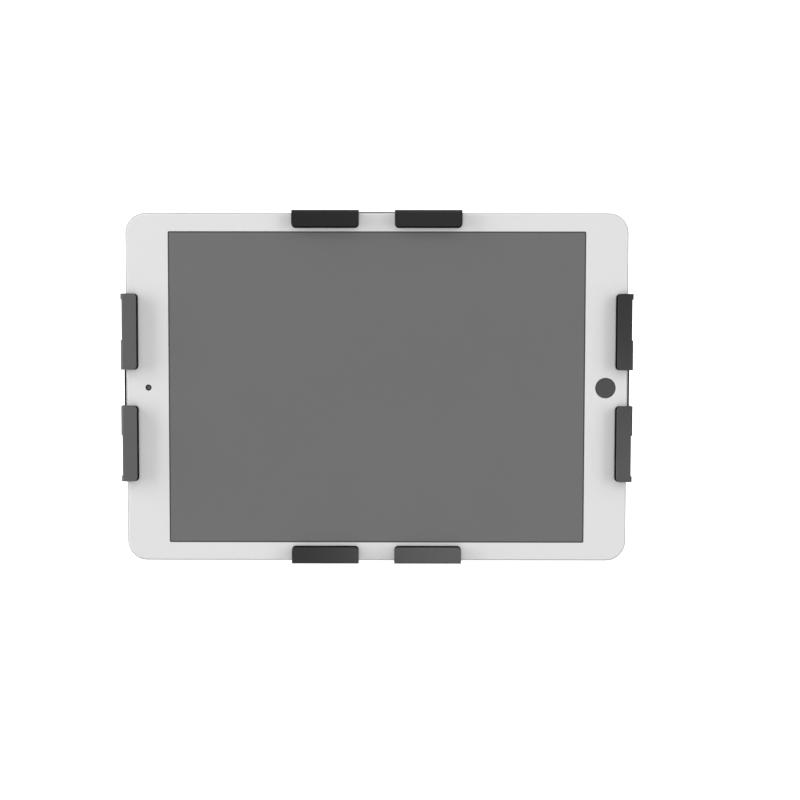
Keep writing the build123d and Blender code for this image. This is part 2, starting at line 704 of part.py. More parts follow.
def build_tablet():
    """Aluminium back shell, front glass and what lies between them."""
    half_long, half_short = tablet_long / 2, tablet_short / 2
    shell_top = tablet_thick - glass_proud
    glass_under = tablet_thick - glass_thick
    glass_long, glass_short = tablet_long - 2 * rim, tablet_short - 2 * rim
    glass_corner = tablet_corner - rim
    glass_edge = 0.25

    shell = slab(tablet_long, tablet_short, 0, shell_top, tablet_corner)
    shell = fillet(shell.edges().group_by(Axis.Z)[0], shell_edge)
    shell -= slab(tablet_long - 2 * shell_wall, tablet_short - 2 * shell_wall, shell_floor,
                  shell_top + over, tablet_corner - shell_wall)
    shell -= slab(glass_long + 2 * seat_fit, glass_short + 2 * seat_fit, glass_under,
                  shell_top + over, glass_corner + seat_fit)
    glass = slab(glass_long, glass_short, glass_under, tablet_thick, glass_corner)
    glass = fillet(glass.edges().group_by(Axis.Z)[-1], glass_edge)

    home_x = half_long - home_inset
    camera_x = camera_inset - half_long
    glass -= rod(home_radius + button_fit, glass_under - over, tablet_thick + over, home_x, 0)
    glass -= rod(camera_radius + seat_fit, glass_under - over, tablet_thick + over, camera_x, 0)

    home_deep = 2.6
    home_sunk = 0.15
    home_dish = 60.0
    home = rod(home_radius, tablet_thick - home_deep, tablet_thick - home_sunk, home_x, 0)
    home -= Pos(home_x, 0, tablet_thick - 2 * home_sunk + home_dish) * Sphere(home_dish)
    camera_deep = 3.2
    camera_sunk = 0.1
    camera = rod(camera_radius, tablet_thick - camera_deep, tablet_thick - camera_sunk, camera_x, 0)
    camera += rod(2 * camera_radius, tablet_thick - camera_deep, glass_under, camera_x, 0)

    display_deep = 1.9
    display_margin = 1.2
    display = slab(screen_long + 2 * display_margin, screen_short + 2 * display_margin,
                   glass_under - display_deep, glass_under)
    display_under = glass_under - display_deep
    cell_long = 92.0
    cell_short = 112.0
    cell_gap = 4.0
    battery = [Pos(side * (cell_long + cell_gap) / 2, -cell_gap) *
               slab(cell_long, cell_short, shell_floor, display_under - over / 2, cell_gap / 2)
               for side in (-1, 1)]
    board_short = 26.0
    board_thick = 1.6
    board_y = half_short - shell_wall - cell_gap - board_short / 2
    board = Pos(0, board_y) * slab(2 * cell_long, board_short, shell_floor, shell_floor + board_thick)

    lens_radius = 3.8
    lens_inset = 13.0
    lens_x, lens_y = lens_inset - half_long, half_short - lens_inset
    shell -= rod(lens_radius + seat_fit, -over, shell_floor + over, lens_x, lens_y)
    lens = rod(lens_radius, 0, 2 * shell_floor, lens_x, lens_y)
    lens += rod(lens_radius + over, shell_floor, 2 * shell_floor, lens_x, lens_y)

    keys = {}
    sleep_inset = 25.05
    loud_inset = 27.3
    quiet_inset = 39.3
    for name, place in (
        ("sleep_button", Pos(-half_long, half_short - sleep_inset, key_level) * Rot(0, 0, 180)),
        ("volume_up_button", Pos(loud_inset - half_long, half_short, key_level) * Rot(0, 0, 90)),
        ("volume_down_button", Pos(quiet_inset - half_long, half_short, key_level) * Rot(0, 0, 90)),
    ):
        gap = 2 * button_fit
        shell -= place * Pos(over, 0, 0) * key(key_long + gap, key_high + gap, shell_wall + 2 * over)
        keys[name] = place * Pos(key_proud, 0, 0) * key(key_long, key_high, key_deep)

    port_long = 9.6
    port_high = 3.0
    port_deep = 5.2
    port_wall = 0.4
    place = Pos(half_long, 0, key_level - port_wall)
    shell -= place * Pos(over, 0, 0) * key(port_long + 2 * seat_fit, port_high + 2 * seat_fit,
                                           shell_wall + 2 * over)
    port = place * Pos(-seat_fit, 0, 0) * key(port_long, port_high, port_deep)
    port -= place * Pos(over, 0, 0) * key(port_long - 2 * port_wall, port_high - 2 * port_wall,
                                          port_deep - port_wall + over)
    speaker_radius = 0.75
    speaker_from = 26.2
    speaker_pitch = 2.3
    speaker_count = 8
    for index in range(speaker_count):
        for side in (-1, 1):
            hole = crosswise(rod(speaker_radius, 0, shell_wall + 2 * over))
            speaker_y = side * (speaker_from + index * speaker_pitch)
            shell -= Pos(half_long - shell_wall - over, speaker_y, key_level) * hole
    jack_inset = 15.05
    jack_level = 3.9
    jack_radius = 2.5
    jack_bore = 1.75
    jack_deep = 12.0
    spot = Pos(-half_long, jack_inset - half_short, jack_level)
    shell -= spot * crosswise(rod(jack_bore, -over, shell_wall + over))
    jack = crosswise(ring(jack_bore, jack_radius, shell_wall, jack_deep))

    keep("tablet_back_shell", shell, frame=HEAD)
    keep("tablet_front_glass", glass, frame=HEAD)
    keep("tablet_display", display, frame=HEAD)
    keep("tablet_battery_cells", *battery, frame=HEAD)
    keep("tablet_logic_board", board, frame=HEAD)
    keep("tablet_home_button", home, frame=HEAD)
    keep("tablet_front_camera", camera, frame=HEAD)
    keep("tablet_rear_camera", lens, frame=HEAD)
    keep("tablet_charge_port", port, frame=HEAD)
    keep("tablet_headphone_jack", spot * jack, frame=HEAD)
    for name, solid in keys.items():
        keep("tablet_" + name, solid, frame=HEAD)


build_turntable(build_base())
build_neck()
build_joint()
build_housing()
build_arms()
build_tablet()

for name, shape in parts.items():
    export_step(shape, "parts/" + name + ".step")
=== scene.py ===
import json
from math import cos, pi, radians, sin, tau

import bmesh
import bpy
from mathutils import Matrix, Vector


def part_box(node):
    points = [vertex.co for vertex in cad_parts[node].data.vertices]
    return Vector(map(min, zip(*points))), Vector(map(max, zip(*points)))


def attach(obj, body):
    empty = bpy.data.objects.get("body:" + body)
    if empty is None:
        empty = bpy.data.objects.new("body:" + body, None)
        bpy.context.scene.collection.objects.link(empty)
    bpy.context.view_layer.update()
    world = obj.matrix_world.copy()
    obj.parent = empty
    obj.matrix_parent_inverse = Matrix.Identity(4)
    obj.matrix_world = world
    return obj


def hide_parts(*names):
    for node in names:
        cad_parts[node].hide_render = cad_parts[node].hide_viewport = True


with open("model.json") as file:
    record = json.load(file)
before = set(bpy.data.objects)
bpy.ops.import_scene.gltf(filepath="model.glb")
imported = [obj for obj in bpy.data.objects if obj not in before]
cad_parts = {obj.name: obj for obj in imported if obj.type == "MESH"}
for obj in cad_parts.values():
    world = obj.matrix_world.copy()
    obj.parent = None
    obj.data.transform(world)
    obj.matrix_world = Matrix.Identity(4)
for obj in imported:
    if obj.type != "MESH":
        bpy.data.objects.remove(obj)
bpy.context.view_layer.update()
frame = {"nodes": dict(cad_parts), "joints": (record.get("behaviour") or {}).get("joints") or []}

# The clamp head leans back on its tilt bolt so that the glass faces a standing user. What it
# carries is drawn on the glass's own axes: to the right, up the glass and out of the glass,
# from the middle of the tablet's back.
turning = next(joint for joint in frame["joints"] if joint["name"] == "head_rotate")
out_of_glass = Vector(turning["axis"]).normalized()
to_the_right = Vector((1, 0, 0))
up_the_glass = out_of_glass.cross(to_the_right)


def placing(origin, x_axis, y_axis, z_axis):
    """The matrix that carries a piece drawn on these axes to its place."""
    turned = Matrix((x_axis, y_axis, z_axis)).transposed().to_4x4()
    return Matrix.Translation(origin) @ turned


def reach(node, place=Matrix.Identity(4)):
    """Lowest and highest corner of a CAD piece, measured along the axes of a placing."""
    back = place.inverted()
    points = [back @ vertex.co for vertex in frame["nodes"][node].data.vertices]
    return Vector(map(min, zip(*points))), Vector(map(max, zip(*points)))


tilt_bolt_middle = Vector(turning["pos_m"])
at_bolt = placing(tilt_bolt_middle, to_the_right, up_the_glass, out_of_glass)
tablet_back = reach("tablet_back_shell", at_bolt)[0].z
head = at_bolt @ Matrix.Translation((0, 0, tablet_back))

# The photograph was taken almost square to the glass, from a little above its middle, with a
# lens of normal length whose picture is shifted a little to one side.
lens = 50
film = 36
eye = Vector((0.0010, 0.0189, 0.5630))
looks_down, looks_aside, leans = radians(2.574), radians(-0.178), radians(-0.065)
picture_shift = 0.031

camera_data = bpy.data.cameras.new("camera")
camera_data.lens = lens
camera_data.sensor_width = film
camera_data.shift_x = picture_shift
camera = bpy.data.objects.new("camera", camera_data)
bpy.context.collection.objects.link(camera)
swing = (Matrix.Rotation(leans, 4, "Z") @ Matrix.Rotation(looks_down, 4, "X")
         @ Matrix.Rotation(looks_aside, 4, "Y"))
camera.matrix_world = head @ Matrix.Translation(eye) @ swing.inverted()
bpy.context.scene.camera = camera
bpy.context.scene.view_settings.view_transform = "Standard"


# The studio is a white floor in a white room of soft light. A long lamp at each side and a
# broad one above graze the glass and are kept out of its mirror. One more stands before it and
# one behind the stand.
class Number:
    """A number that varies over a surface: sums and products of it become Math nodes."""

    def __init__(self, tree, socket):
        self.tree, self.socket = tree, socket

    def math(self, operation, first, second=0):
        made = self.tree.node("ShaderNodeMath", {"operation": operation}, {0: first, 1: second})
        return Number(self.tree, made.outputs[0])

    def __add__(self, other):
        return self.math("ADD", self, other)

    def __sub__(self, other):
        return self.math("SUBTRACT", self, other)

    def __rsub__(self, other):
        return self.math("SUBTRACT", other, self)

    def __mul__(self, other):
        return self.math("MULTIPLY", self, other)

    def __truediv__(self, other):
        return self.math("DIVIDE", self, other)

    __radd__ = __add__
    __rmul__ = __mul__

    def or_more(self, other):
        return self.math("MAXIMUM", self, other)

    def sine(self):
        return self.math("SINE", self)

    def between(self, low, high):
        """Nought below low, one above high and a smooth rise in between."""
        made = self.tree.node("ShaderNodeMapRange", {"interpolation_type": "SMOOTHSTEP"},
                              {0: self, 1: low, 2: high})
        return Number(self.tree, made.outputs[0])


class Tree:
    """The nodes of a finish or of the room."""

    def __init__(self, owner):
        owner.use_nodes = True
        self.tree = owner.node_tree

    def set(self, node, sockets):
        for key, value in sockets.items():
            if isinstance(value, Number):
                value = value.socket
            if isinstance(value, bpy.types.NodeSocket):
                self.tree.links.new(value, node.inputs[key])
            else:
                node.inputs[key].default_value = value

    def node(self, kind, settings, sockets):
        made = self.tree.nodes.new(kind)
        for key, value in settings.items():
            setattr(made, key, value)
        self.set(made, sockets)
        return made

    def looked_at(self, by_mirror=1.0):
        """One where the camera sees a thing straight, a share by mirror or through glass, else nought."""
        path = self.node("ShaderNodeLightPath", {}, {}).outputs
        straight, mirrored, through = [Number(self, path[name]) for name in (
            "Is Camera Ray", "Is Glossy Ray", "Is Transmission Ray")]
        return straight.or_more(mirrored.or_more(through) * by_mirror)


class Finish(Tree):
    """A surface finish: its plain values go on the shader, and what varies is added as nodes."""

    def __init__(self, name, **plain):
        self.material = bpy.data.materials.new(name)
        super().__init__(self.material)
        self.shader = self.tree.nodes["Principled BSDF"]
        self.vary(**plain)

    def vary(self, **sockets):
        self.set(self.shader, {key.replace("_", " "): value for key, value in sockets.items()})
        return self.material

    def place(self, axes=None):
        """The piece's own coordinates in metres, turned onto the given axes."""
        spot = self.node("ShaderNodeTexCoord", {}, {}).outputs["Object"]
        if axes is None:
            return spot
        back = axes.inverted()
        turned = self.node("ShaderNodeMapping", {"vector_type": "POINT"},
                           {0: spot, 1: back.translation, 2: back.to_euler()})
        return turned.outputs[0]

    def parts(self, vector):
        split = self.node("ShaderNodeSeparateXYZ", {}, {0: vector})
        return [Number(self, socket) for socket in split.outputs]

    def noise(self, vector, grain, detail=2, rough=0.5):
        """Noise between nought and one, whose patches are about a grain in metres across."""
        made = self.node("ShaderNodeTexNoise", {},
                         {"Vector": vector, "Scale": 1 / grain, "Detail": detail, "Roughness": rough})
        return Number(self, made.outputs[0])

    def cells(self, vector, grain, feature="F1"):
        """Distance to the nearest point of a scatter whose points lie about a grain apart."""
        made = self.node("ShaderNodeTexVoronoi", {"feature": feature},
                         {"Vector": vector, "Scale": 1 / grain})
        return Number(self, made.outputs[0])

    def stretched(self, vector, x, y, z):
        made = self.node("ShaderNodeVectorMath", {"operation": "MULTIPLY"}, {0: vector, 1: (x, y, z)})
        return made.outputs[0]

    def distance(self, vector, point):
        """How far a place is from a point, in metres."""
        made = self.node("ShaderNodeVectorMath", {"operation": "DISTANCE"}, {0: vector, 1: point})
        return Number(self, made.outputs["Value"])

    def mixed(self, share, one, other):
        """A colour between two others."""
        made = self.node("ShaderNodeMix", {"data_type": "RGBA"}, {0: share, 6: one, 7: other})
        return made.outputs[2]

    def bumped(self, height, depth):
        """Relief on the surface, its depth in metres."""
        made = self.node("ShaderNodeBump", {}, {"Height": height, "Distance": depth, "Strength": 1})
        self.vary(Normal=made.outputs[0])


def grey(level, tint=(1, 1, 1)):
    """Colour of a grey seen as this level of 255 on a screen, with a slight tint."""
    share = level / 255
    linear = ((share + 0.055) / 1.055) ** 2.4
    return tuple(linear * part for part in tint) + (1,)


black, white = grey(0), grey(255)
floor_side = 12.0
floor_pale = grey(205)
floor_lift, lift_in_mirror = 1.0, 0.15
lift_by_stand, shadow_middle, shadow_from, shadow_to = 0.22, (0, 0.06, 0), 0.12, 0.24
floor_finish = Finish("floor", Base_Color=floor_pale, Roughness=0.9, Specular_IOR_Level=0.0,
                      Emission_Strength=floor_lift)
from_middle = floor_finish.distance(floor_finish.place(), shadow_middle)
lift = lift_by_stand + (1 - lift_by_stand) * from_middle.between(shadow_from, shadow_to)
seen_lift = lift * floor_finish.looked_at(lift_in_mirror)
floor_finish.vary(Emission_Color=floor_finish.mixed(seen_lift, black, white))
floor_mesh = bpy.data.meshes.new("floor")
half_floor = floor_side / 2
floor_corners = [(x * half_floor, y * half_floor, 0) for x, y in ((-1, -1), (1, -1), (1, 1), (-1, 1))]
floor_mesh.from_pydata(floor_corners, [], [(0, 1, 2, 3)])
floor_mesh.materials.append(floor_finish.material)
floor = bpy.data.objects.new("floor", floor_mesh)
bpy.context.collection.objects.link(floor)

room_light = 0.30
world = bpy.data.worlds.new("studio")
bpy.context.scene.world = world
room = Tree(world)
lit, seen = [room.node("ShaderNodeBackground", {}, {"Color": white, "Strength": strength}).outputs[0]
             for strength in (room_light, 1.0)]
room_mix = room.node("ShaderNodeMixShader", {}, {0: room.looked_at(), 1: lit, 2: seen})
room.set(room.tree.nodes["World Output"], {"Surface": room_mix.outputs[0]})

for name, spot, wide, high, power, mirrored in (
    ("lamp_above", (0.1, 2.05, 0.60), 2.6, 1.6, 23.6, False),
    ("lamp_left", (-1.5, 0.30, 0.25), 2.2, 0.5, 47.5, False),
    ("lamp_right", (1.5, 0.30, 0.50), 2.2, 0.6, 25.0, False),
    ("lamp_before", (-0.2, -1.10, 1.30), 1.0, 1.0, 5.4, True),
    ("lamp_behind", (0.3, 2.0, -0.72), 1.2, 1.2, 8, True),
):
    spot = Vector(spot)
    data = bpy.data.lights.new(name, "AREA")
    data.shape, data.size, data.size_y, data.energy = "RECTANGLE", wide, high, power
    lamp = bpy.data.objects.new(name, data)
    lamp.visible_glossy = mirrored
    bpy.context.collection.objects.link(lamp)
    facing_glass = spot.to_track_quat("Z", "Y").to_matrix().to_4x4()
    lamp.matrix_world = head @ Matrix.Translation(spot) @ facing_glass


# The base is a laser-cut steel plate, powder coated a satin black, with a chamfered upper edge
# and four countersunk holes for bolting it to a counter. A rubber sheet is glued under it, and
# a rubber grommet and a zinc plated lock insert are pressed into it.
def smooth_by_angle(limit):
    """A modifier group that shades smooth, except across edges sharper than a limit."""
    tree = bpy.data.node_groups.new("smooth_by_angle", "GeometryNodeTree")
    tree.interface.new_socket("Geometry", in_out="INPUT", socket_type="NodeSocketGeometry")
    tree.interface.new_socket("Geometry", in_out="OUTPUT", socket_type="NodeSocketGeometry")
    start, plain, faces, angle, sharp, edges, end = [tree.nodes.new(kind) for kind in (
        "NodeGroupInput", "GeometryNodeRemoveAttribute", "GeometryNodeSetShadeSmooth",
        "GeometryNodeInputMeshEdgeAngle", "FunctionNodeCompare", "GeometryNodeSetShadeSmooth",
        "NodeGroupOutput")]
    plain.inputs["Name"].default_value = "custom_normal"
    faces.domain, edges.domain, sharp.operation = "FACE", "EDGE", "GREATER_THAN"
    sharp.inputs[1].default_value = limit
    edges.inputs["Shade Smooth"].default_value = False
    for source, target in ((start.outputs[0], plain.inputs[0]), (plain.outputs[0], faces.inputs[0]),
                           (faces.outputs[0], edges.inputs[0]), (angle.outputs[0], sharp.inputs[0]),
                           (sharp.outputs[0], edges.inputs["Selection"]),
                           (edges.outputs[0], end.inputs[0])):
        tree.links.new(source, target)
    return tree


bevel_from, smooth_to, flat_within, same_place = radians(38), radians(32), radians(0.1), 1e-6
soft_shading = smooth_by_angle(smooth_to)


def soften(piece, bevel=0.0, steps=2):
    """Break the sharp edges of a piece by a small round and shade it smooth in between."""
    if bevel:
        weld = piece.modifiers.new("weld", "WELD")
        weld.merge_threshold = same_place
        plain = piece.modifiers.new("plain", "DECIMATE")
        plain.decimate_type, plain.angle_limit = "DISSOLVE", flat_within
        edge = piece.modifiers.new("edge", "BEVEL")
        edge.width, edge.segments, edge.limit_method = bevel, steps, "ANGLE"
        edge.angle_limit, edge.use_clamp_overlap = bevel_from, False
    shade = piece.modifiers.new("shade", "NODES")
    shade.node_group = soft_shading
    flat = piece.modifiers.new("flat", "WEIGHTED_NORMAL")
    flat.keep_sharp, flat.weight = True, 100
    return piece


def dress(node, material, bevel=0.0, steps=2):
    """Give a CAD piece its finish and its broken edges."""
    piece = frame["nodes"][node]
    piece.data.materials.clear()
    piece.data.materials.append(material)
    return soften(piece, bevel, steps)


def powder_coat(name, level=44, grain=0.0013, relief=0.000012, tone=None, gloss=0.22, worn=1.0):
    """Satin powder coat: orange peel, a speckle of fine grains and a few faint scuffs."""
    finish = Finish(name, Specular_IOR_Level=gloss)
    spot = finish.place()
    speckle = finish.noise(spot, grain=0.00032, detail=1)
    cloud = finish.noise(spot, grain=0.03, detail=3)
    scuffs = finish.noise(finish.stretched(spot, 1, 6, 2), grain=0.011, detail=5, rough=0.72)
    rubbed = scuffs.between(0.66, 0.80)
    colour = tone(finish) if tone else grey(level)
    wear = worn * (0.012 * speckle + 0.010 * cloud + 0.035 * rubbed)
    finish.vary(Base_Color=finish.mixed(wear, colour, white),
                Roughness=0.44 + 0.12 * speckle + 0.10 * rubbed)
    finish.bumped(finish.noise(spot, grain=grain, detail=2) + 0.3 * speckle, depth=relief)
    return finish.material


def rubber(name, level=20, relief=0.00002):
    """Matt moulded rubber with a fine grain and a touch of dust."""
    finish = Finish(name, Specular_IOR_Level=0.12)
    spot = finish.place()
    grain = finish.noise(spot, grain=0.0004, detail=2)
    dust = finish.noise(spot, grain=0.009, detail=5, rough=0.7).between(0.52, 0.8)
    finish.vary(Base_Color=finish.mixed(0.5 * dust + 0.2 * grain, grey(level), grey(level + 16)),
                Roughness=0.72 + 0.16 * grain)
    finish.bumped(grain, depth=relief)
    return finish.material


def zinc(name, level=188, axes=None):
    """Bright zinc plate: a cold grey metal with faint cloudy spangle and fine turning lines."""
    finish = Finish(name, Metallic=1.0)
    spot = finish.place(axes)
    cloud = finish.noise(spot, grain=0.0022, detail=4, rough=0.6)
    lines = finish.noise(finish.stretched(spot, 1, 1, 12), grain=0.0011, detail=2)
    finish.vary(Base_Color=finish.mixed(cloud, grey(level - 16, (0.97, 0.99, 1.0)), grey(level + 14)),
                Roughness=0.24 + 0.16 * cloud + 0.06 * lines)
    finish.bumped(lines, depth=0.000004)
    return finish.material


plate_coat = powder_coat("base_plate_coat", level=42, grain=0.0015, relief=0.000016)
bright_zinc = zinc("zinc_plate")
dress("base_plate", plate_coat, bevel=0.0003)
dress("base_rubber_sheet", rubber("base_sheet_rubber", level=24, relief=0.00004), bevel=0.0002)
dress("cable_grommet", rubber("grommet_rubber", level=26, relief=0.00001))
dress("lock_insert", bright_zinc, bevel=0.00015)


# The neck turns on the base: a flanged plastic bush, a round steel turntable and a bolt through
# both, held from below with a washer and nut. The bush is black acetal.
def acetal(name, level=46):
    """Black bearing plastic with a dull moulded sheen and fine flow marks."""
    finish = Finish(name, Specular_IOR_Level=0.4)
    spot = finish.place()
    flow = finish.noise(finish.stretched(spot, 1, 1, 5), grain=0.006, detail=4, rough=0.6)
    grain = finish.noise(spot, grain=0.0005, detail=1)
    finish.vary(Base_Color=finish.mixed(flow, grey(level - 6), grey(level + 8)),
                Roughness=0.34 + 0.14 * flow)
    finish.bumped(grain, depth=0.000006)
    return finish.material


bearing = acetal("black_acetal")
turntable_coat = powder_coat("turntable_coat", level=46)
dress("swivel_bush", bearing)
dress("turntable", turntable_coat, bevel=0.0002)
for node in ("swivel_bolt", "swivel_washer", "swivel_nut"):
    dress(node, bright_zinc, bevel=0.00025)

# The neck is a box tube of 2.5 mm steel, cut slanting and welded between a foot plate and a
# forked yoke, then powder coated. Four countersunk screws hold the foot to the turntable.
foot_floor, foot_top = [corner[2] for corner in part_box("neck_foot")]
neck_up = (tilt_bolt_middle - Vector((0, 0, foot_floor))).normalized()
neck = placing(tilt_bolt_middle, to_the_right, neck_up.cross(to_the_right), neck_up)
tube_wide, tube_deep, tube_corner = 0.036, 0.024, 0.004
bead_radius, bead_pitch, bead_step, bead_sides = 0.0017, 0.0016, 0.0004, 10
bead_ripple, bead_wander, wander_rate = 0.12, 0.06, 310


def rounded(long, wide, corner, steps=10):
    """Points round a rectangle with round corners, counter-clockwise."""
    points = []
    for turn, (x, y) in enumerate(((1, 1), (-1, 1), (-1, -1), (1, -1))):
        for step in range(steps + 1):
            angle = (turn + step / steps) * pi / 2
            points.append((x * (long / 2 - corner) + corner * cos(angle),
                           y * (wide / 2 - corner) + corner * sin(angle)))
    return points


def new_piece(name, mesh, place, body, slot, *materials):
    """Put a finished mesh in the scene, in its place and on its body."""
    mesh.transform(place)
    piece = bpy.data.objects.new(name, mesh)
    bpy.context.collection.objects.link(piece)
    for material in materials:
        mesh.materials.append(material)
    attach(piece, body)
    return soften(piece)


def mesh_of(name, build):
    """A mesh from a function that fills an empty bmesh."""
    shape = bmesh.new()
    build(shape)
    bmesh.ops.recalc_face_normals(shape, faces=shape.faces)
    mesh = bpy.data.meshes.new(name)
    shape.to_mesh(mesh)
    shape.free()
    return mesh


def bridge(shape, low, high, slot=0):
    """Join two rings of the same number of points with four-sided faces."""
    count = len(low)
    for i in range(count):
        face = shape.faces.new((low[i], low[(i + 1) % count], high[(i + 1) % count], high[i]))
        face.material_index = slot


def weld_bead(name, corners, flat):
    """A rippled bead of weld along a closed line of corners, lying in the plane of a normal."""
    line = []
    for start, end in zip(corners, corners[1:] + corners[:1]):
        steps = max(1, round((end - start).length / bead_step))
        line += [start.lerp(end, step / steps) for step in range(steps)]

    def build(shape):
        travelled = 0.0
        rings = []
        for before, here, after in zip(line[-1:] + line[:-1], line, line[1:] + line[:1]):
            along = (after - before).normalized()
            side = along.cross(flat).normalized()
            travelled += (after - here).length
            ripple = 1 - bead_ripple + bead_ripple * abs(sin(pi * travelled / bead_pitch))
            wander = 1 + bead_wander * sin(wander_rate * travelled)
            size = bead_radius * ripple * wander
            rings.append([shape.verts.new(here + size * (cos(tau * i / bead_sides) * side
                                                         + sin(tau * i / bead_sides) * flat))
                          for i in range(bead_sides)])
        for low, high in zip(rings, rings[1:] + rings[:1]):
            bridge(shape, low, high)

    return new_piece(name, mesh_of(name, build), Matrix.Identity(4), "neck", "black_coat", weld_coat)


neck_coat = powder_coat("neck_coat", level=44)
weld_coat = powder_coat("weld_coat", level=46, grain=0.0022, relief=0.00003)
dress("neck_foot", neck_coat, bevel=0.00025)
dress("neck_tube", neck_coat)
dress("neck_yoke", neck_coat, bevel=0.0007, steps=3)
dress("foot_screws", bright_zinc, bevel=0.00012)
yoke_floor = reach("neck_yoke", neck)[0].z
tube_outline = rounded(tube_wide, tube_deep, tube_corner, steps=8)
across = [neck @ Vector((x, y, yoke_floor)) for x, y in tube_outline]
on_foot = [point + neck_up * ((foot_top - point.z) / neck_up.z) for point in across]
weld_bead("weld_under_yoke", across, neck_up)
weld_bead("weld_on_foot", on_foot, Vector((0, 0, 1)))

# The tilt joint is a socket-head bolt through the fork and a cast block, with a nut, a plastic
# bush and two plastic friction washers. The block's cup holds the head's hub in a flanged bush,
# and three grub screws run in the hub's groove.
cast_coat = powder_coat("cast_block_coat", level=48, grain=0.0024, relief=0.00004)
bolt_zinc = zinc("bolt_zinc", level=180, axes=neck)
for node in ("tilt_bolt", "tilt_nut"):
    dress(node, bolt_zinc, bevel=0.0003)
dress("tilt_friction_washers", bearing, bevel=0.0001)
dress("tilt_block", cast_coat, bevel=0.0005, steps=3)
for node in ("tilt_bush", "rotor_bush"):
    dress(node, bearing, bevel=0.0001)
for node in ("rotor_grub_screws", "rotor_screws"):
    dress(node, bright_zinc, bevel=0.0001)
dress("rotor_plate", powder_coat("rotor_plate_coat", level=42), bevel=0.0003)

# The clamp head is a die-cast box with a plastic arm guide and a flat steel lid, closed by four
# countersunk screws. Two clamp screws lock the arms, and four rubber pads carry the tablet.
housing_coat = powder_coat("housing_coat", level=46, grain=0.0022, relief=0.00003)
dress("housing_rear", housing_coat, bevel=0.0004)
dress("housing_front", powder_coat("lid_coat", level=42), bevel=0.0002)
dress("arm_guide", bearing, bevel=0.0002)
for node in ("housing_screws", "side_clamp_screw", "upright_clamp_screw"):
    dress(node, bright_zinc, bevel=0.0001)
dress("tablet_rest_pads", rubber("rest_pad_rubber", level=30), bevel=0.0003)


# Two ground steel pinions on one post move the arms of each pair together, one pair above the
# other.
def ground_steel(name, axes):
    """Ground steel with fine straight lines and a thin film of oil."""
    finish = Finish(name, Metallic=1.0)
    spot = finish.place(axes)
    lines = finish.noise(finish.stretched(spot, 1, 14, 1), grain=0.0012, detail=3, rough=0.6)
    oil = finish.noise(spot, grain=0.005, detail=3).between(0.45, 0.7)
    finish.vary(Base_Color=finish.mixed(oil, grey(182), grey(150, (1.0, 0.97, 0.9))),
                Roughness=0.3 + 0.14 * lines - 0.1 * oil)
    finish.bumped(lines, depth=0.000004)
    return finish.material


gear_finish = ground_steel("ground_steel", axes=head)
for node in ("pinion_side", "pinion_upright", "gear_post"):
    dress(node, gear_finish, bevel=0.00008)

# Each arm is one piece of 1.2 mm sheet steel, cut and folded to a rack finger, a stem, a crossbar
# and two claws, and powder coated. The side claws hold a moulded rubber channel and the others
# a glued lip pad and back block; the rubber shows as a dark border inside the steel lips.
lip_top = reach("arm_left", head)[1].z
arm_black = 26
lip_deep, bend_deep = 0.0020, 0.0007
lip_from, lip_to = lip_top - lip_deep, lip_top - bend_deep
claw_rubber = rubber("claw_rubber", level=12, relief=0.000015)


def painted_lip_sheen(axis, half, first, last, sheen_to):
    """Black coat on an arm whose lips carry a painted sheen, paler from one end of the pair to the other,
    with the outer bend past a given line left black as painted shade.
    """
    def tone(finish):
        spot = finish.parts(finish.place(head))
        along = (spot[axis] / (2 * half) + 0.5).between(0, 1)
        raised = spot[2].between(lip_from, lip_to)
        # Past its given line an arm's outer bend gets no sheen and stays black, as painted shade.
        shaded_bend = spot[1 - axis].between(sheen_to, sheen_to + sheen_fade)
        return finish.mixed(raised * (1 - shaded_bend), grey(arm_black),
                            finish.mixed(along, grey(first), grey(last)))
    return tone


side_half, end_half = 0.047, 0.0425
sheen_fade, bend_wide = 0.0002, 0.0009
# The right arm's outer bend, this far in from its outside face, is left black as painted shade.
right_bend_shade_from = reach("arm_right", head)[1].x - bend_wide
past_the_arm = 1.0
# The lip greys of each arm, from the first end of the pair to the last, are a painted reflection of the
# studio's light, not a real difference in the coat.
for side, axis, half, first, last, sheen_to in (
    ("left", 1, side_half, 93, 93, past_the_arm),
    ("right", 1, side_half, 83, 48, right_bend_shade_from),
    ("top", 0, end_half, 29, 37, past_the_arm),
    ("bottom", 0, end_half, 45, 89, past_the_arm),
):
    coat = powder_coat("arm_" + side + "_coat", grain=0.0011, gloss=0.12, worn=0.45,
                       tone=painted_lip_sheen(axis, half, first, last, sheen_to))
    dress("arm_" + side, coat, bevel=0.00016)
    if axis == 1:
        dress("arm_" + side + "_liners", claw_rubber, bevel=0.00015)
    else:
        for pad in ("_lip_pads", "_back_pads"):
            dress("arm_" + side + pad, claw_rubber, bevel=0.00015)


# The tablet's shell is milled aluminium, bead blasted and anodised. Its keys, charge port and
# headphone jack are of the same metal, set in their own slots.
def aluminium(name, level, grain=0.00022):
    """Bead-blasted anodised aluminium."""
    finish = Finish(name, Metallic=1.0)
    spot = finish.place(head)
    blast = finish.noise(spot, grain=grain, detail=1)
    cloud = finish.noise(spot, grain=0.02, detail=3)
    finish.vary(Base_Color=finish.mixed(cloud, grey(level - 4), grey(level + 4)),
                Roughness=0.36 + 0.1 * blast + 0.05 * cloud)
    finish.bumped(blast, depth=0.000003)
    return finish.material


shell_finish = aluminium("blasted_aluminium", level=210)
dress("tablet_back_shell", shell_finish, bevel=0.00012)
key_finish = aluminium("key_aluminium", level=203, grain=0.0003)
for node in ("tablet_sleep_button", "tablet_volume_up_button", "tablet_volume_down_button"):
    dress(node, key_finish, bevel=0.0003, steps=3)
for node in ("tablet_charge_port", "tablet_headphone_jack"):
    dress(node, aluminium(node + "_metal", level=150, grain=0.0004), bevel=0.0001)


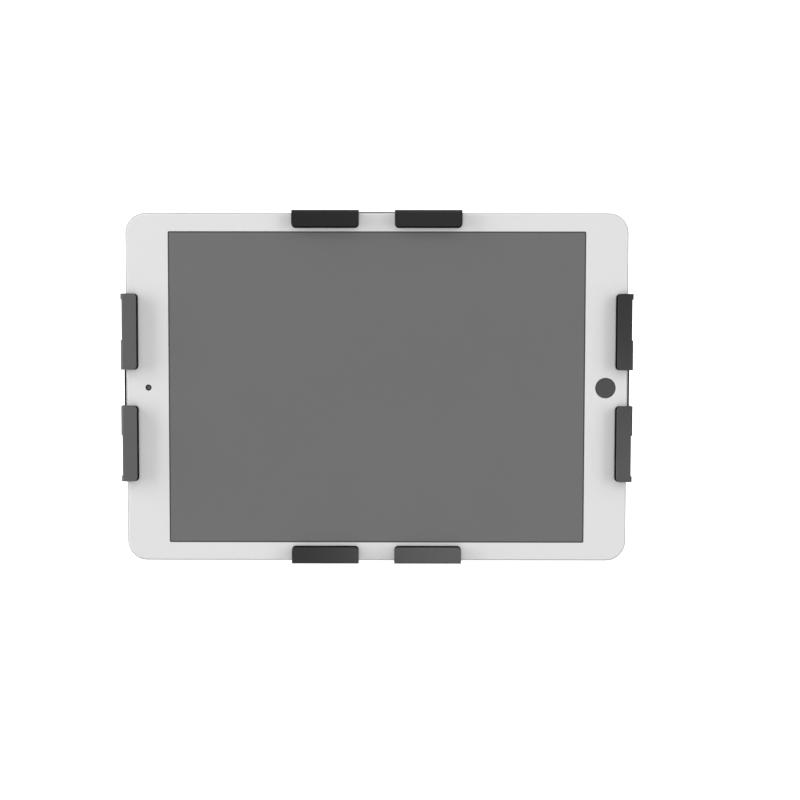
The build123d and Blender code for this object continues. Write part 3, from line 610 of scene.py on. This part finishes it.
# Inside lie the display module in its folded tray, two foil pouch cells and a narrow circuit
# board, all glued to the shell.
def foil(name, level):
    """A crinkled pouch or plate that nobody sees until the tablet is opened."""
    finish = Finish(name, Specular_IOR_Level=0.5)
    spot = finish.place(head)
    crease = finish.cells(spot, grain=0.006, feature="DISTANCE_TO_EDGE").between(0.0, 0.25)
    cloud = finish.noise(spot, grain=0.01, detail=3)
    finish.vary(Base_Color=finish.mixed(cloud, grey(level - 8), grey(level + 8)),
                Roughness=0.3 + 0.2 * crease)
    finish.bumped(crease + cloud, depth=0.00003)
    return finish.material


def board(name):
    """Green solder mask over copper tracks."""
    finish = Finish(name, Specular_IOR_Level=0.5)
    spot = finish.parts(finish.place(head))
    tracks = ((spot[0] * 4200).sine() * (spot[1] * 3100).sine()).between(0.1, 0.3)
    finish.vary(Base_Color=finish.mixed(tracks, (0.012, 0.10, 0.045, 1), (0.03, 0.19, 0.08, 1)),
                Roughness=0.35 + 0.1 * tracks)
    finish.bumped(tracks, depth=0.00002)
    return finish.material


dress("tablet_display", foil("display_tray", level=90), bevel=0.0003)
dress("tablet_battery_cells", foil("battery_foil", level=124), bevel=0.0004)
dress("tablet_logic_board", board("circuit_board"), bevel=0.0001)


# The front glass is a sheet with softly rounded edges, printed white on its back round the
# screen. It is bonded into the shell, and its home button and camera holes are ground.
def circle(radius, steps=64, x=0, y=0):
    return [(x + radius * cos(tau * step / steps), y + radius * sin(tau * step / steps))
            for step in range(steps)]


def ring_of(shape, outline, height):
    return [shape.verts.new((x, y, height)) for x, y in outline]


def fill(shape, rings, slot=0):
    """A flat face inside the first ring, with the others as holes."""
    edges = []
    for ring in rings:
        for i, vertex in enumerate(ring):
            other = ring[(i + 1) % len(ring)]
            edges.append(shape.edges.get((vertex, other)) or shape.edges.new((vertex, other)))
    made = bmesh.ops.triangle_fill(shape, use_beauty=True, use_dissolve=False, edges=edges)
    for face in made["geom"]:
        if isinstance(face, bmesh.types.BMFace):
            face.material_index = slot


glass_low, glass_high = reach("tablet_front_glass", head)
glass_long, glass_wide = glass_high.x - glass_low.x, glass_high.y - glass_low.y
glass_corner = 0.0095
glass_round = 0.00045
screen_long, screen_wide = 0.2082, 0.1557
screen_line = 0.0007
home_low, home_high = reach("tablet_home_button", head)
camera_low, camera_high = reach("tablet_front_camera", head)
home_x, home_radius = (home_low.x + home_high.x) / 2, (home_high.x - home_low.x) / 2
camera_x = (camera_low.x + camera_high.x) / 2
camera_flange = (camera_high.x - camera_low.x) / 2
lens_radius = camera_flange / 2
home_gap, lens_gap, hole_chamfer = 0.00015, 0.00005, 0.00012
home_hole, lens_hole = home_radius + home_gap, lens_radius + lens_gap


def build_glass(shape):
    steps = 5
    outline = [rounded(glass_long - 2 * inset, glass_wide - 2 * inset, glass_corner - inset)
               for inset in [glass_round * (1 - cos(step / steps * pi / 2)) for step in range(steps + 1)]]
    heights = [glass_high.z - glass_round * (1 - sin(step / steps * pi / 2)) for step in range(steps + 1)]
    sides = [ring_of(shape, outline[0], glass_low.z)]
    sides += [ring_of(shape, line, height) for line, height in zip(outline, heights)]
    for low, high in zip(sides, sides[1:]):
        bridge(shape, low, high)
    hole_tops = []
    hole_feet = []
    for x, radius in ((home_x, home_hole), (camera_x, lens_hole)):
        top = ring_of(shape, circle(radius + hole_chamfer, x=x), glass_high.z)
        lip = ring_of(shape, circle(radius, x=x), glass_high.z - hole_chamfer)
        foot = ring_of(shape, circle(radius, x=x), glass_low.z)
        bridge(shape, foot, lip)
        bridge(shape, lip, top)
        hole_tops.append(top)
        hole_feet.append(foot)
    frame_edge = ring_of(shape, rounded(screen_long, screen_wide, screen_line, steps=3), glass_high.z)
    screen_edge = ring_of(shape, rounded(screen_long - 2 * screen_line, screen_wide - 2 * screen_line,
                                         screen_line / 2, steps=3), glass_high.z)
    fill(shape, [sides[-1], frame_edge] + hole_tops, 0)
    bridge(shape, frame_edge, screen_edge, 2)
    fill(shape, [screen_edge], 1)
    fill(shape, [sides[0]] + hole_feet, 0)


def under_glass(name, level, spread, grain=None):
    """A print seen through clear glass: an even grey below a polished coat."""
    finish = Finish(name, Coat_Weight=0.8, Coat_Roughness=0.04, Specular_IOR_Level=0.1)
    spot = finish.place(head)
    cloud = finish.noise(spot, grain=0.07, detail=3)
    fine = finish.cells(spot, grain=grain) if grain else finish.noise(spot, grain=0.002)
    finish.vary(Base_Color=finish.mixed(cloud, grey(level - spread), grey(level + spread)),
                Roughness=0.42 + 0.08 * fine)
    finish.bumped(finish.noise(spot, grain=0.018, detail=2), depth=0.000002)
    return finish.material


bezel = under_glass("white_print_under_glass", level=222, spread=1.0)
screen = under_glass("blank_screen_under_glass", level=101, spread=1.2, grain=0.00028)
# The thin dark ring between the white print and the screen is painted shade along the screen's edge.
screen_edge_shade = under_glass("screen_edge_line", level=58, spread=2.0)
glass = new_piece("glass_cover", mesh_of("glass_cover", build_glass), head, "head", "tablet_glass",
                  bezel, screen, screen_edge_shade)
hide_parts("tablet_front_glass")


# The home button is a dished cap of grey glass that moves in its own hole. The front camera is
# a small dark barrel with a domed lens behind the glass's hole; the rear one has a metal ring.
def lathe(shape, profile, x=0, y=0, steps=64):
    """Turn a profile of radius, height and material round an upright line; its ends are closed."""
    rings = [ring_of(shape, circle(radius, steps, x, y), height) for radius, height, _ in profile]
    for low, high, (_, _, slot) in zip(rings, rings[1:], profile[1:]):
        bridge(shape, low, high, slot)
    for ring, slot in ((rings[0], profile[0][2]), (rings[-1], profile[-1][2])):
        shape.faces.new(ring).material_index = slot


def dome(radius, edge, middle, slot, steps=8, tip=0.02):
    """The end of a profile: a shallow dome or dish from an edge level to a middle level."""
    shares = [1 - step / steps for step in range(steps)] + [tip]
    return [(radius * share, middle + (edge - middle) * share ** 2, slot) for share in shares]


def glassy(name, level, tint=(1, 1, 1), coat=1.0):
    """Smooth tinted glass with a few specks and a polished coat."""
    finish = Finish(name, Coat_Weight=coat, Coat_Roughness=0.03, Specular_IOR_Level=0.1)
    spot = finish.place(head)
    cloud = finish.noise(spot, grain=0.003, detail=3)
    finish.vary(Base_Color=finish.mixed(cloud, grey(level - 2, tint), grey(level + 2, tint)),
                Roughness=0.35 + 0.1 * cloud)
    finish.bumped(cloud, depth=0.0000015)
    return finish.material


home_top = home_high.z
home_round = 0.00018
home_shoulder = 0.3 * home_round
home_dish = 0.00012


def build_home(shape):
    lathe(shape, [(home_radius, home_low.z, 0), (home_radius, home_top - home_round, 0),
                  (home_radius - home_shoulder, home_top - home_shoulder, 0)]
          + dome(home_radius - home_round, home_top, home_top - home_dish, 0, steps=12), home_x)


home = new_piece("home_button_cap", mesh_of("home_button_cap", build_home), head, "home_button",
                 "button_grey", glassy("home_button_glass", level=62, coat=0.8))
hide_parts("tablet_home_button")

lens_top = camera_high.z
lens_ring, lens_seat, lens_sink, lens_round = 0.00100, 0.00090, 0.00022, 0.00006


def build_front_camera(shape):
    lathe(shape, [(camera_flange, camera_low.z, 0), (camera_flange, glass_low.z, 0),
                  (lens_radius, glass_low.z, 0), (lens_radius, lens_top - lens_round, 0),
                  (lens_radius - lens_round, lens_top, 0), (lens_ring, lens_top, 0),
                  (lens_seat, lens_top - lens_sink, 0)]
          + dome(lens_seat, lens_top - lens_sink, lens_top - lens_sink / 3, 1), camera_x)


barrel_black = glassy("camera_barrel", level=34, coat=0.2)
front_camera = new_piece("front_camera_lens", mesh_of("front_camera_lens", build_front_camera), head,
                         "head", "lens_glass", barrel_black,
                         glassy("front_lens", level=82, tint=(0.96, 0.98, 1.0)))
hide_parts("tablet_front_camera")

rear_low, rear_high = reach("tablet_rear_camera", head)
rear_flange = (rear_high.x - rear_low.x) / 2
rear_x, rear_y = (rear_low.x + rear_high.x) / 2, (rear_low.y + rear_high.y) / 2
flange_wide = 0.001
rear_radius = rear_flange - flange_wide
rear_wall, rear_round = 0.0006, 0.0001
rear_glass, glass_step = 0.0003, 0.0002
rear_lens = 0.0015


def build_rear_camera(shape):
    lathe(shape, [(rear_flange, rear_high.z, 0), (rear_flange, rear_high.z / 2, 0),
                  (rear_radius, rear_high.z / 2, 0), (rear_radius, rear_round, 0),
                  (rear_radius - rear_round, 0, 0), (rear_radius - rear_wall, 0, 0),
                  (rear_radius - rear_wall, rear_glass, 0), (rear_lens, rear_glass, 1),
                  (rear_lens, rear_glass + glass_step, 1)]
          + dome(rear_lens - rear_round, rear_glass + glass_step, rear_glass, 2), rear_x, rear_y)


rear_camera = new_piece("rear_camera_lens", mesh_of("rear_camera_lens", build_rear_camera), head,
                        "head", "lens_glass", key_finish, glassy("rear_camera_glass", level=22),
                        glassy("rear_lens", level=40, tint=(0.7, 0.8, 1.0)))
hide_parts("tablet_rear_camera")
